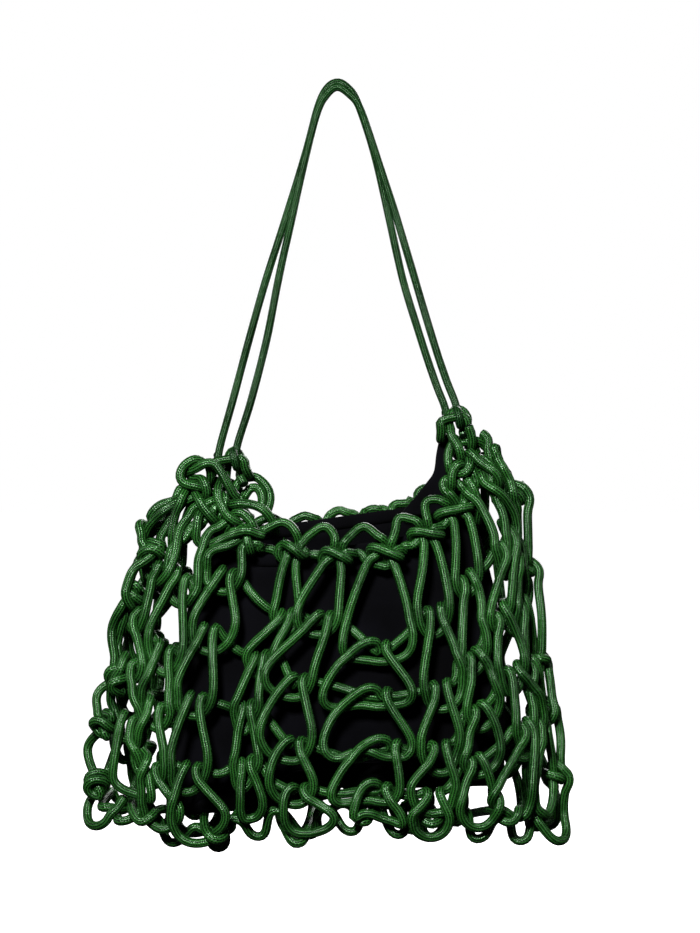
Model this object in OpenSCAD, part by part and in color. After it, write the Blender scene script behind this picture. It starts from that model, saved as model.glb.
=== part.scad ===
// Knotted cord shoulder bag: an open net of coated cord round a black cloth pouch,
// hung by a handle of two cord strands. Millimetres, +Z up, front towards -Y.
// The origin is where a hook bears on the underside of the handle's top.

/* [Cord] */
// Diameter of the cord that the net and the handle are made of
cord_d = 6; // [5.6:0.1:6.2]

/* [Net] */
// Width across the corners at the top of the net
net_top_w = 190; // [186:1:196]
// Width across the net at its base
net_base_w = 376; // [340:2:400]
// Depth, front to back, at the top of the net
net_top_depth = 60; // [56:1:64]
// Depth, front to back, at the base
net_base_depth = 124; // [116:2:140]
// Height of the net's base, measured down from the hook
net_base_z = -588; // [-620:2:-580]
// Thickness of the knotted wall, about two cords
net_wall = 12; // [11:0.5:13]
// Courses of knotting below the rim
courses = 5; // [5:1:5]

/* [Pouch] */
// Width of the cloth pouch
pouch_w = 250; // [230:2:260]
// Depth of the pouch at its fullest
pouch_depth = 72; // [60:1:76]
// Height of the pouch's base, measured down from the hook
pouch_base_z = -546; // [-560:2:-520]
// Thickness of the doubled cloth
cloth = 1.6; // [1.2:0.1:2]
// Height of the binding round the mouth
binding_h = 9; // [6:1:12]

/* [Handle] */
// Half the distance between the two corner loops
corner_x = 87; // [86:1:88]
// Gap left between the two strands
strand_gap = 0.6; // [0.6:0.1:0.8]

/* [Hidden] */

cord_r = cord_d / 2;
cord_sides = 8;
green = [0.14, 0.34, 0.16];
dark_green = [0.10, 0.27, 0.12];
black = [0.04, 0.04, 0.05];
thread_colour = [0.09, 0.09, 0.10];

// The line through the corner loops climbs to the right, because the bag hangs a little tilted.
tilt = 10.6;
corner_mid_x = 2;
corner_mid_z = -268;
axis_dir = [cos(tilt), 0, sin(tilt)];
axis_up = [-sin(tilt), 0, cos(tilt)];

// Each strand's eye turns on one leg of a corner loop.
running_gap = 0.5;
eye_r = cord_d + running_gap;
strand_y = cord_r + strand_gap / 2;
leg_y = strand_y + eye_r;
eye_step = 28;
eye_turn = 252;

// Routes of the two strands as [x, z], left eye to right eye.
front_route = [[-76, -270], [-66, -238], [-54, -191], [-45, -145], [-34, -95], [-24, -50],
    [-15, -16], [-8, -3], [0, 3], [9, -2], [18, -14], [31, -52], [46, -98], [60, -145],
    [74, -192], [84, -222], [91, -240]];
back_route = [[-90, -272], [-80, -236], [-68, -191], [-55, -145], [-39, -95], [-24, -46],
    [-15, -12], [-8, 3], [0, 8], [8, 4], [16, -8], [29, -48], [40, -96], [51, -145],
    [65, -191], [76, -224], [83, -242]];
front_eyes_x = [-78, 93];
back_eyes_x = [-92, 85];

// Corner loops and lashings
loop_leg = 13;
loop_dip = 10;
loop_arc_steps = 6;
lashing_drop = 11;
lashing_core_r = 9;
lashing_turns = 4;

// Net
net_drift = -9;
net_spread_power = 0.27;
net_depth_power = 0.5;
net_roundness = 0.7;
rim_z = -280;
rim_sag_front = 63;
rim_sag_back = 42;
rim_sag_power = 4;
rim_share = 0.07;
side_angle = 12;
course_share = (1 - rim_share) / courses;
wall_levels = concat([0], [for (k = [0 : courses]) rim_share + k * course_share]);
panel_steps = 24;
lacing_steps = 4;
knot_stand = 3;
base_gap = 2;
base_h = 12;

// Pouch
pouch_x = 3;
pouch_top_depth = 40;
pouch_z = -337;
pouch_lean = 14;
pouch_sag_front = 22;
pouch_sag_back = 4;
pouch_angle_steps = 20;
tab_w = 26;
tab_depth = 12;
tab_top_w = 8;
tab_end = 2;
stitch_l = 7;
stitch_r = 0.5;

function unit(v) = v / norm(v);
function flatten_by(v, axis) = unit(v - (v * axis) * axis);
function signed_pow(s, p) = sign(s) * pow(abs(s), p);

// A point on the line through the corner loops, at height zero over it.
function on_axis(x, y) =
    [x, y, corner_mid_z + (x - corner_mid_x) * tan(tilt)];

function path_tangent(path, i, closed = false) =
    let (n = len(path),
         before = closed ? path[(i + n - 1) % n] : path[max(i - 1, 0)],
         after = closed ? path[(i + 1) % n] : path[min(i + 1, n - 1)])
    unit(after - before);

// Side directions carried along a path without twist.
function carried(path, side, i = 0) =
    let (here = flatten_by(side, path_tangent(path, i)))
    i == len(path) - 1 ? [here] : concat([here], carried(path, here, i + 1));

function ring(centre, tangent, side, r) =
    let (other = cross(tangent, side))
    [for (k = [0 : cord_sides - 1])
        centre + r * (cos(k * 360 / cord_sides) * side + sin(k * 360 / cord_sides) * other)];

function ring_faces(from, to) =
    [for (k = [0 : cord_sides - 1]) each
        let (next = (k + 1) % cord_sides,
             a = from * cord_sides + k, b = from * cord_sides + next,
             c = to * cord_sides + next, d = to * cord_sides + k)
        [[a, d, c], [a, c, b]]];

// Open cord: one swept tube with flat ends.
module cord(path, side) {
    n = len(path);
    sides = carried(path, side);
    points = [for (i = [0 : n - 1]) each ring(path[i], path_tangent(path, i), sides[i], cord_r)];
    polyhedron(points, concat(
        [[for (k = [0 : cord_sides - 1]) k]],
        [for (i = [0 : n - 2]) each ring_faces(i, i + 1)],
        [[for (k = [1 : cord_sides]) n * cord_sides - k]]), convexity = 6);
}

// Closed cord whose path stays near level, so up serves as the side direction.
module cord_ring(path, up) {
    n = len(path);
    points = [for (i = [0 : n - 1]) each
        let (tangent = path_tangent(path, i, true))
        ring(path[i], tangent, flatten_by(up, tangent), cord_r)];
    polyhedron(points, [for (i = [0 : n - 1]) each ring_faces(i, (i + 1) % n)], convexity = 6);
}

// Points of a strand's eye, from the strand round under the loop's leg; s is the leg's side.
function eye(x, s) =
    [for (a = [0 : eye_step : eye_turn])
        on_axis(x, s * leg_y) + eye_r * (-s * cos(a) * [0, 1, 0] - sin(a) * axis_up)];

function reversed(list) = [for (i = [len(list) - 1 : -1 : 0]) list[i]];

module strand(route, eyes_x, s) {
    middle = [for (p = route) [p[0], s * strand_y, p[1]]];
    cord(concat(reversed(eye(eyes_x[0], s)), middle, eye(eyes_x[1], s)), axis_dir);
}

module corner_loop(side) {
    centre = on_axis(corner_mid_x + side * corner_x, 0);
    turn = 180 / loop_arc_steps;
    half = [for (a = [-90 : turn : 90])
        [loop_leg + leg_y * cos(a), leg_y * sin(a), -loop_dip * cos(a)]];
    other = [for (p = half) [-p[0], -p[1], p[2]]];
    cord_ring([for (p = concat(half, other)) centre + p[0] * axis_dir + [0, p[1], 0] + p[2] * axis_up],
        axis_up);
}

module corner_lashing(side) {
    top = on_axis(corner_mid_x + side * corner_x, 0) - [0, 0, lashing_drop];
    translate(top - [0, 0, lashing_turns * cord_d]) {
        cylinder(r = lashing_core_r, h = lashing_turns * cord_d, $fn = 48);
        for (k = [0 : lashing_turns - 1])
            translate([0, 0, (k + 0.5) * cord_d])
                rotate_extrude($fn = 48) translate([lashing_core_r, 0]) circle(r = cord_r, $fn = 24);
    }
}

// Half width, half depth, centre and height of the net at share v from rim to base.
function net_half_w(v) = (net_top_w + (net_base_w - net_top_w) * pow(v, net_spread_power)) / 2;
function net_half_d(v) = (net_top_depth + (net_base_depth - net_top_depth) * pow(v, net_depth_power)) / 2;
function net_mid_x(v) = corner_mid_x + net_drift * v;
function rim_height(a) =
    rim_z + net_top_w / 2 * sin(a) * tan(tilt)
    - (cos(a) > 0 ? rim_sag_front : rim_sag_back) * (1 - pow(abs(sin(a)), rim_sag_power));
function net_height(a, v) = rim_height(a) + v * (net_base_z - rim_height(a));
function net_point(a, v, inset) =
    [net_mid_x(v) + (net_half_w(v) - inset) * sin(a),
     -(net_half_d(v) - inset) * signed_pow(cos(a), net_roundness),
     net_height(a, v)];

// A stretch of the net's wall between two angles, with a ring at each level. Neighbours share
// their edges' rings and diagonals, so they meet face to face.
module net_wall_piece(a0, a1, levels, steps, outset = 0) {
    na = steps + 1;
    nv = len(levels);
    function at(i, j, inset) = net_point(a0 + (a1 - a0) * i / steps, levels[j], inset);
    outer = [for (j = [0 : nv - 1]) for (i = [0 : na - 1]) at(i, j, -outset)];
    inner = [for (j = [0 : nv - 1]) for (i = [0 : na - 1]) at(i, j, net_wall)];
    closed_sheet(outer, inner, na, nv);
}

// Closes a grid of outer points and its twin of inner points into one solid.
module closed_sheet(outer, inner, na, nv) {
    m = na * nv;
    edge = concat(
        [for (i = [0 : na - 2]) [i, i + 1]],
        [for (j = [0 : nv - 2]) [j * na + na - 1, (j + 1) * na + na - 1]],
        [for (i = [na - 1 : -1 : 1]) [(nv - 1) * na + i, (nv - 1) * na + i - 1]],
        [for (j = [nv - 1 : -1 : 1]) [j * na, (j - 1) * na]]);
    polyhedron(concat(outer, inner), concat(
        [for (j = [0 : nv - 2]) for (i = [0 : na - 2]) each
            [[j * na + i, j * na + i + 1, (j + 1) * na + i + 1],
             [j * na + i, (j + 1) * na + i + 1, (j + 1) * na + i]]],
        [for (j = [0 : nv - 2]) for (i = [0 : na - 2]) each
            [[m + j * na + i, m + (j + 1) * na + i + 1, m + j * na + i + 1],
             [m + j * na + i, m + (j + 1) * na + i, m + (j + 1) * na + i + 1]]],
        [for (e = edge) each e[0] < e[1]
            ? [[e[0], m + e[0], m + e[1]], [e[0], m + e[1], e[1]]]
            : [[e[0], m + e[0], e[1]], [m + e[0], m + e[1], e[1]]]]),
        convexity = 6);
}

front_angles = [-90 + side_angle, 90 - side_angle];
back_angles = [90 + side_angle, 270 - side_angle];

module net_course(angles, k) {
    net_wall_piece(angles[0], angles[1], [wall_levels[k], wall_levels[k + 1]], panel_steps);
}

module net_rim(angles) {
    net_wall_piece(angles[0], angles[1], [wall_levels[0], wall_levels[1]], panel_steps);
}

module side_lacing(middle) {
    net_wall_piece(middle - side_angle, middle + side_angle, wall_levels, lacing_steps, knot_stand);
}

module base_lacing() {
    color(dark_green)
    translate([net_mid_x(1), 0, net_base_z])
        linear_extrude(base_h)
            polygon([for (a = [0 : 10 : 350])
                [(net_half_w(1) - net_wall - base_gap) * sin(a),
                 -(net_half_d(1) - net_wall - base_gap) * signed_pow(cos(a), net_roundness)]]);
}

function pouch_half_d(v) = (pouch_top_depth + (pouch_depth - pouch_top_depth) * sin(150 * v)) / 2;
function pouch_half_w(v) = pouch_w / 2 * (0.94 + 0.06 * sin(90 * v));
function pouch_rim(a) =
    pouch_z + pouch_lean * sin(a)
    - (cos(a) > 0 ? pouch_sag_front : pouch_sag_back) * (1 - pow(abs(sin(a)), rim_sag_power));
function pouch_point(a, v, inset, rise = 0) =
    [pouch_x + (pouch_half_w(v) - inset) * sin(a),
     -(pouch_half_d(v) - inset) * signed_pow(cos(a), net_roundness),
     pouch_rim(a) + rise + v * (pouch_base_z - pouch_rim(a))];

module pouch_panel(a0, a1) {
    na = pouch_angle_steps + 1;
    nv = 7;
    function at(i, j, inset) =
        pouch_point(a0 + (a1 - a0) * i / pouch_angle_steps, j / (nv - 1), inset);
    closed_sheet(
        [for (j = [0 : nv - 1]) for (i = [0 : na - 1]) at(i, j, 0)],
        [for (j = [0 : nv - 1]) for (i = [0 : na - 1]) at(i, j, cloth)], na, nv);
}

module pouch_base() {
    color(black)
    translate([pouch_x, 0, pouch_base_z - cloth])
        linear_extrude(cloth)
            polygon([for (a = [0 : 10 : 350])
                [pouch_half_w(1) * sin(a), -pouch_half_d(1) * signed_pow(cos(a), net_roundness)]]);
}

module pouch_mouth_binding() {
    n = 2 * pouch_angle_steps;
    function at(i, rise, inset) = pouch_point(360 * i / n, 0, inset, rise);
    layers = [[0, 0], [binding_h, 0], [binding_h, cloth], [0, cloth]];
    color(black)
    polyhedron([for (p = layers) for (i = [0 : n - 1]) at(i, p[0], p[1])],
        [for (k = [0 : 3]) for (i = [0 : n - 1]) each
            let (a = k * n + i, b = k * n + (i + 1) % n,
                 c = ((k + 1) % 4) * n + (i + 1) % n, d = ((k + 1) % 4) * n + i)
            [[a, d, c], [a, c, b]]],
        convexity = 6);
}

// A gathered corner of the pouch, pulled up to its lashing.
module pouch_tab(side) {
    foot = [pouch_x + side * (pouch_half_w(0) - tab_w / 2), 0, pouch_rim(side * 90) + binding_h];
    head = on_axis(corner_mid_x + side * corner_x, 0) - [0, 0, lashing_drop + lashing_turns * cord_d];
    hull() {
        translate(foot - [tab_w / 2, tab_depth / 2, 0]) cube([tab_w, tab_depth, tab_end]);
        translate(head - [tab_top_w / 2, tab_top_w / 2, tab_end]) cube([tab_top_w, tab_top_w, tab_end]);
    }
}

module tab_stitches() {
    color(thread_colour)
    for (side = [-1, 1], s = [-1, 1]) {
        head = on_axis(corner_mid_x + side * corner_x, 0) - [0, 0, lashing_drop + lashing_turns * cord_d];
        translate(head + [0, s * (tab_top_w / 2 + stitch_r), -stitch_l])
            cylinder(r = stitch_r, h = stitch_l, $fn = 16);
    }
}

module handle_front_strand() { color(green) strand(front_route, front_eyes_x, -1); }
module handle_back_strand() { color(green) strand(back_route, back_eyes_x, 1); }
module left_corner_loop() { color(dark_green) corner_loop(-1); }
module right_corner_loop() { color(dark_green) corner_loop(1); }
module left_corner_lashing() { color(green) corner_lashing(-1); }
module right_corner_lashing() { color(green) corner_lashing(1); }
module front_net_rim() { color(green) net_rim(front_angles); }
module back_net_rim() { color(dark_green) net_rim(back_angles); }
module front_net_course(k) { color(green) net_course(front_angles, k); }
module back_net_course(k) { color(dark_green) net_course(back_angles, k); }
module left_side_lacing() { color(green) side_lacing(-90); }
module right_side_lacing() { color(green) side_lacing(90); }
module pouch_front_panel() { color(black) pouch_panel(-90, 90); }
module pouch_back_panel() { color(black) pouch_panel(90, 270); }
module left_pouch_tab() { color(black) pouch_tab(-1); }
module right_pouch_tab() { color(black) pouch_tab(1); }

handle_front_strand();
handle_back_strand();
left_corner_loop();
right_corner_loop();
left_corner_lashing();
right_corner_lashing();
front_net_rim();
back_net_rim();
front_net_course(1);  // front_net_course_1
front_net_course(2);  // front_net_course_2
front_net_course(3);  // front_net_course_3
front_net_course(4);  // front_net_course_4
front_net_course(5);  // front_net_course_5
back_net_course(1);  // back_net_course_1
back_net_course(2);  // back_net_course_2
back_net_course(3);  // back_net_course_3
back_net_course(4);  // back_net_course_4
back_net_course(5);  // back_net_course_5
left_side_lacing();
right_side_lacing();
base_lacing();
pouch_front_panel();
pouch_back_panel();
pouch_base();
pouch_mouth_binding();
left_pouch_tab();
right_pouch_tab();
tab_stitches();
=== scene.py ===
"""Knotted cord shoulder bag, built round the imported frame. Metres, +Z up, front towards -Y."""
import math

import bmesh
import bpy
import numpy as np
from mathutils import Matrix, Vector, kdtree


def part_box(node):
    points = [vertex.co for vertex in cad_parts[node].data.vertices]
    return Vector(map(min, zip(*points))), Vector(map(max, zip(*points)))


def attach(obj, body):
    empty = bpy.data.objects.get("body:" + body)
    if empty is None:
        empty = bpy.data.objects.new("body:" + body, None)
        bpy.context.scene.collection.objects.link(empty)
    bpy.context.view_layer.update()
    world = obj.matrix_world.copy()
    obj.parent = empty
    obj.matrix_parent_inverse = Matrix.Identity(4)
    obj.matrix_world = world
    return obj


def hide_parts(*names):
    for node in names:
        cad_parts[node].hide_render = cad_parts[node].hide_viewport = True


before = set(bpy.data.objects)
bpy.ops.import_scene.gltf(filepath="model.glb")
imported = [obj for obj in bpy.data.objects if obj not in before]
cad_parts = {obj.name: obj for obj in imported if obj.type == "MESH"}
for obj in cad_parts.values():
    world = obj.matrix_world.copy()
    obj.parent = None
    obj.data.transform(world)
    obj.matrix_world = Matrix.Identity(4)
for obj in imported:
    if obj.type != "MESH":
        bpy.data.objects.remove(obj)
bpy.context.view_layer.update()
rng = np.random.default_rng(11)
MM = 0.001
CORD_R = 3.0 * MM
# The net's hollow braid flattens where it is drawn up, so it is made thicker than the handle's.
NET_CORD_R = 3.55 * MM


def vary(low, high):
    return float(rng.uniform(low, high))


def stray(mean, spread):
    return float(rng.normal(mean, spread))


# ------------ camera, light and floor

CAMERA_PLACE = (0.010, -1.5, -0.2885)
PICTURE_HEIGHT = 0.7184
SENSOR = 36.0
WORLD_LIGHT = 0.015
LIGHTS_AIM = (0, 0, -0.4)
# Each light's name, place, side of its square, and power.
LIGHTS = (
    ("key", (-0.35, -1.45, 0.60), 0.30, 84),
    ("right_side", (1.5, -0.2, 0.3), 0.5, 5),
    ("left_side", (-1.5, 0.2, 0.3), 0.5, 4),
    ("behind", (0.3, 1.6, 0.3), 0.8, 10),
)
WHITE = (1, 1, 1, 1)
FLOOR_PAINT, FLOOR_ROUGH = (0.9, 0.9, 0.9, 1), 0.9
FLOOR_SIZE, FLOOR_Z = 40, -0.80


def make_camera():
    """Level view of the front; the picture is PICTURE_HEIGHT high where the handle hangs."""
    data = bpy.data.cameras.new("camera")
    data.sensor_fit = "VERTICAL"
    data.sensor_height = SENSOR
    data.lens = SENSOR * -CAMERA_PLACE[1] / PICTURE_HEIGHT
    camera = bpy.data.objects.new("camera", data)
    camera.location = CAMERA_PLACE
    camera.rotation_euler = (math.pi / 2, 0, 0)
    bpy.context.scene.collection.objects.link(camera)
    bpy.context.scene.camera = camera


def make_world():
    """White behind the bag for the camera, and almost no light from there on the bag."""
    world = bpy.data.worlds.new("studio")
    world.use_nodes = True
    tree = world.node_tree
    backdrop = tree.nodes["Background"]
    backdrop.inputs["Color"].default_value = WHITE
    seen = tree.nodes.new("ShaderNodeLightPath").outputs["Is Camera Ray"]
    strength = tree.nodes.new("ShaderNodeMapRange")
    strength.inputs["To Min"].default_value = WORLD_LIGHT
    strength.inputs["To Max"].default_value = 1.0
    tree.links.new(seen, strength.inputs["Value"])
    tree.links.new(strength.outputs["Result"], backdrop.inputs["Strength"])
    bpy.context.scene.world = world
    bpy.context.scene.view_settings.view_transform = "Standard"


def make_light(name, place, size, power):
    data = bpy.data.lights.new(name, "AREA")
    data.shape = "RECTANGLE"
    data.size = size
    data.size_y = size
    data.energy = power
    light = bpy.data.objects.new(name, data)
    light.location = place
    aim = Vector(LIGHTS_AIM) - Vector(place)
    light.rotation_euler = aim.to_track_quat("-Z", "Y").to_euler()
    bpy.context.scene.collection.objects.link(light)


def make_floor():
    """A white floor below the bag, which lights nothing and shows no shadow."""
    bpy.ops.mesh.primitive_plane_add(size=FLOOR_SIZE, location=(0, 0, FLOOR_Z))
    floor = bpy.context.active_object
    floor.name = "floor"
    paint = bpy.data.materials.new("pale_floor")
    paint.use_nodes = True
    looks = paint.node_tree.nodes["Principled BSDF"].inputs
    looks["Base Color"].default_value = FLOOR_PAINT
    looks["Roughness"].default_value = FLOOR_ROUGH
    looks["Specular IOR Level"].default_value = 0.0
    looks["Emission Color"].default_value = WHITE
    looks["Emission Strength"].default_value = 1.0
    floor.data.materials.append(paint)
    floor.visible_diffuse = False
    floor.visible_glossy = False


make_camera()
make_world()
for light in LIGHTS:
    make_light(*light)
make_floor()


# ------------ materials

BUMP_DEPTH = 0.5 * MM


class Nodes:
    """Short calls for building a material's node tree."""

    def __init__(self, name):
        self.material = bpy.data.materials.new(name)
        self.material.use_nodes = True
        self.tree = self.material.node_tree
        self.looks = self.tree.nodes["Principled BSDF"].inputs

    def link(self, source, target):
        self.tree.links.new(source, target)

    def put(self, socket, value):
        if isinstance(value, bpy.types.NodeSocket):
            self.link(value, socket)
        else:
            socket.default_value = value

    def math(self, operation, a, b=0.0):
        node = self.tree.nodes.new("ShaderNodeMath")
        node.operation = operation
        self.put(node.inputs[0], a)
        self.put(node.inputs[1], b)
        return node.outputs[0]

    def mix(self, share, a, b):
        node = self.tree.nodes.new("ShaderNodeMix")
        node.data_type = "RGBA"
        self.put(node.inputs["Factor"], share)
        self.put(node.inputs["A"], a)
        self.put(node.inputs["B"], b)
        return node.outputs["Result"]

    def ramp(self, value, low, high):
        node = self.tree.nodes.new("ShaderNodeMapRange")
        self.put(node.inputs["Value"], value)
        node.inputs["From Min"].default_value = low
        node.inputs["From Max"].default_value = high
        return node.outputs["Result"]

    def noise(self, vector, scale, detail=2.0):
        node = self.tree.nodes.new("ShaderNodeTexNoise")
        node.inputs["Scale"].default_value = scale
        node.inputs["Detail"].default_value = detail
        self.link(vector, node.inputs["Vector"])
        return node.outputs["Fac"]

    def bump(self, height, strength):
        node = self.tree.nodes.new("ShaderNodeBump")
        node.inputs["Strength"].default_value = strength
        node.inputs["Distance"].default_value = BUMP_DEPTH
        self.link(height, node.inputs["Height"])
        self.link(node.outputs["Normal"], self.looks["Normal"])

    def coordinates(self, kind):
        return self.tree.nodes.new("ShaderNodeTexCoord").outputs[kind]


RIBS = 5.0  # pairs of ribs round the cord
STITCHES = 580.0  # stitches to a metre of cord
RIB_HEIGHT, WEAVE_HEIGHT = 0.62, 0.33
PATCH_SCALE, WEAR_SCALE, CREASE_SCALE = 38.0, 420.0, 26.0
CORD_ROUGH, RUBBED_SMOOTHER, WORN_ROUGHER = 0.22, 0.07, 0.10
WAX_SHARE = 0.20
GREEN_SHINE = (0.62, 1.0, 0.62, 1)
CORD_BUMP, CLOTH_BUMP = 0.65, 0.5
CLOTH_ROUGH, CREASE_ROUGHER = 0.78, 0.2
CLOTH_SHEEN, CLOTH_SHEEN_ROUGH, CLOTH_SHINE = 0.008, 0.5, 0.03


def braid_height(n):
    """Height of a braided cover: ribs along the cord, crossed by short slanted stitches."""
    split = n.tree.nodes.new("ShaderNodeSeparateXYZ")
    n.link(n.coordinates("UV"), split.inputs[0])
    around, along = split.outputs[0], split.outputs[1]
    rib_turn = n.math("MULTIPLY", around, 2 * math.pi * RIBS)
    stitch_turn = n.math("MULTIPLY", along, 2 * math.pi * STITCHES)
    rib = n.math("ABSOLUTE", n.math("SINE", rib_turn))
    rising = n.math("SINE", n.math("ADD", stitch_turn, rib_turn))
    falling = n.math("SINE", n.math("SUBTRACT", stitch_turn, rib_turn))
    weave = n.math("MAXIMUM", rising, falling)
    return n.math("ADD", n.math("MULTIPLY", rib, RIB_HEIGHT), n.math("MULTIPLY", weave, WEAVE_HEIGHT))


def make_cord_material(name, lit, shade, wax, shine):
    """Braid with painted shade in its grooves, and pale wax worn into its high parts."""
    n = Nodes(name)
    height = braid_height(n)
    place = n.coordinates("Object")
    patches = n.noise(place, PATCH_SCALE)
    wear = n.noise(place, WEAR_SCALE, 3.0)
    # The braid's grooves are painted darker as shade, from its height; the patches vary its tone at
    # random.
    shade_and_tone = n.math("ADD", n.math("MULTIPLY", height, 0.80), n.math("MULTIPLY", patches, 0.50))
    colour = n.mix(n.ramp(shade_and_tone, 0.60, 1.02), shade, lit)
    dusty = n.math("MULTIPLY", n.ramp(wear, 0.50, 0.80), n.ramp(height, 0.5, 0.95))
    colour = n.mix(n.math("MULTIPLY", dusty, WAX_SHARE), colour, wax)
    n.put(n.looks["Base Color"], colour)
    rubbed = n.math("MULTIPLY", n.ramp(height, 0.35, 0.85), RUBBED_SMOOTHER)
    worn = n.math("MULTIPLY", wear, WORN_ROUGHER)
    rough = n.math("ADD", n.math("SUBTRACT", CORD_ROUGH, rubbed), worn)
    n.put(n.looks["Roughness"], rough)
    n.looks["Specular IOR Level"].default_value = shine
    n.looks["Specular Tint"].default_value = GREEN_SHINE
    n.bump(height, CORD_BUMP)
    return n.material


def make_cloth_material(name, dark, light, thread):
    """Matt plain weave with faint creases, painted darker in their hollows as shade; thread is its
    thickness.
    """
    n = Nodes(name)
    place = n.coordinates("Object")
    split = n.tree.nodes.new("ShaderNodeSeparateXYZ")
    n.link(place, split.inputs[0])
    warp = n.math("SINE", n.math("MULTIPLY", split.outputs[0], math.pi / thread))
    weft = n.math("SINE", n.math("MULTIPLY", split.outputs[2], math.pi / thread))
    weave = n.math("MULTIPLY", warp, weft)
    crease = n.noise(place, CREASE_SCALE, 4.0)
    # Painted shade: the colour follows the creases' height and is darker in their hollows. The weave is
    # the cloth's own pattern.
    shade_and_tone = n.math("ADD", n.math("MULTIPLY", weave, 0.15), crease)
    rough = n.math("ADD", CLOTH_ROUGH, n.math("MULTIPLY", crease, CREASE_ROUGHER))
    n.put(n.looks["Base Color"], n.mix(n.ramp(shade_and_tone, 0.30, 0.85), dark, light))
    n.put(n.looks["Roughness"], rough)
    n.looks["Sheen Weight"].default_value = CLOTH_SHEEN
    n.looks["Sheen Roughness"].default_value = CLOTH_SHEEN_ROUGH
    n.looks["Specular IOR Level"].default_value = CLOTH_SHINE
    height = n.math("ADD", n.math("MULTIPLY", weave, 0.35), n.math("MULTIPLY", crease, 3.0))
    n.bump(height, CLOTH_BUMP)
    return n.material


# Painted shade: the colour of the braid's grooves.
GROOVE_SHADE = (0.0003, 0.002, 0.0006, 1)
NET_CORD = make_cord_material("net_cord", lit=(0.016, 0.086, 0.012, 1), shade=GROOVE_SHADE,
                              wax=(0.14, 0.42, 0.16, 1), shine=0.40)
# The handle is the same cord as the net's, painted darker as shade because it catches more light than the
# net.
SHADED_HANDLE_CORD = make_cord_material("handle_cord", lit=(0.010, 0.046, 0.010, 1), shade=GROOVE_SHADE,
                                 wax=(0.16, 0.26, 0.17, 1), shine=0.16)
POUCH_CLOTH = make_cloth_material("pouch_cloth", dark=(0.0002, 0.0002, 0.0004, 1),
                                  light=(0.0020, 0.0020, 0.0032, 1), thread=0.5 * MM)
THREAD = make_cloth_material("thread", dark=(0.004, 0.004, 0.006, 1),
                             light=(0.012, 0.012, 0.016, 1), thread=0.3 * MM)


# ------------ cords as smooth tubes

CURVE_STEPS = 8  # points on the curve from one given point to the next
AROUND = 14  # sides of a cord
BRAID_TWIST = 9.0  # radians to a metre of cord
END_BULGE = 0.45  # of the radius
FIRST_SIDE = (0.3, 1.0, 0.2)  # any direction that no cord starts along


def smooth_path(points, spacing, closed=False):
    """Catmull-Rom curve through the points, resampled at an even spacing."""
    p = np.asarray(points, float)
    if closed:
        p = np.vstack([p[-1:], p, p[:2]])
    else:
        p = np.vstack([2 * p[0] - p[1], p, 2 * p[-1] - p[-2]])
    t = (np.arange(CURVE_STEPS) / CURVE_STEPS)[:, None]
    pieces = []
    for a, b, c, d in zip(p[:-3], p[1:-2], p[2:-1], p[3:]):
        pieces.append(0.5 * (2 * b + (c - a) * t + (2 * a - 5 * b + 4 * c - d) * t ** 2
                             + (3 * b - a - 3 * c + d) * t ** 3))
    fine = np.vstack(pieces + [p[-2:-1]])
    run = run_along(fine)
    count = max(4, int(round(run[-1] / spacing)))
    at = np.linspace(0, run[-1], count + 1)
    even = np.stack([np.interp(at, run, fine[:, k]) for k in range(3)], axis=1)
    return even[:-1] if closed else even


def run_along(path):
    """Distance from the first point to each point of a path."""
    return np.concatenate([[0], np.cumsum(np.linalg.norm(np.diff(path, axis=0), axis=1))])


def carried_sides(path, closed):
    """Directions along and across a path, carried along it without twist."""
    if closed:
        tangents = np.roll(path, -1, 0) - np.roll(path, 1, 0)
    else:
        tangents = np.gradient(path, axis=0)
    tangents /= np.linalg.norm(tangents, axis=1)[:, None]
    side = np.cross(tangents[0], FIRST_SIDE)
    sides = []
    for t in tangents:
        side = side - t * np.dot(side, t)
        side = side / np.linalg.norm(side)
        sides.append(side)
    sides = np.array(sides)
    if closed:
        last = sides[-1] - tangents[0] * np.dot(sides[-1], tangents[0])
        gap = math.atan2(np.dot(np.cross(last, sides[0]), tangents[0]), np.dot(last, sides[0]))
        turn = np.linspace(0, gap, len(path))[:, None]
        sides = sides * np.cos(turn) + np.cross(tangents, sides) * np.sin(turn)
    return tangents, sides


def add_band(mesh, uv, here, there, v0, v1):
    """The faces between two rings of a tube."""
    for k in range(AROUND):
        j = (k + 1) % AROUND
        face = mesh.faces.new((here[k], here[j], there[j], there[k]))
        face.smooth = True
        corners = ((k, v0), (k + 1, v0), (k + 1, v1), (k, v1))
        for loop, (u, v) in zip(face.loops, corners):
            loop[uv].uv = (u / AROUND, v)


def add_end(mesh, ring, tip, first):
    """Closes the first or last ring of a tube with a low cone."""
    bulge = mesh.verts.new(tip)
    for k in range(AROUND):
        a, b = ring[k], ring[(k + 1) % AROUND]
        face = mesh.faces.new((b, a, bulge) if first else (a, b, bulge))
        face.smooth = True


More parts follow.
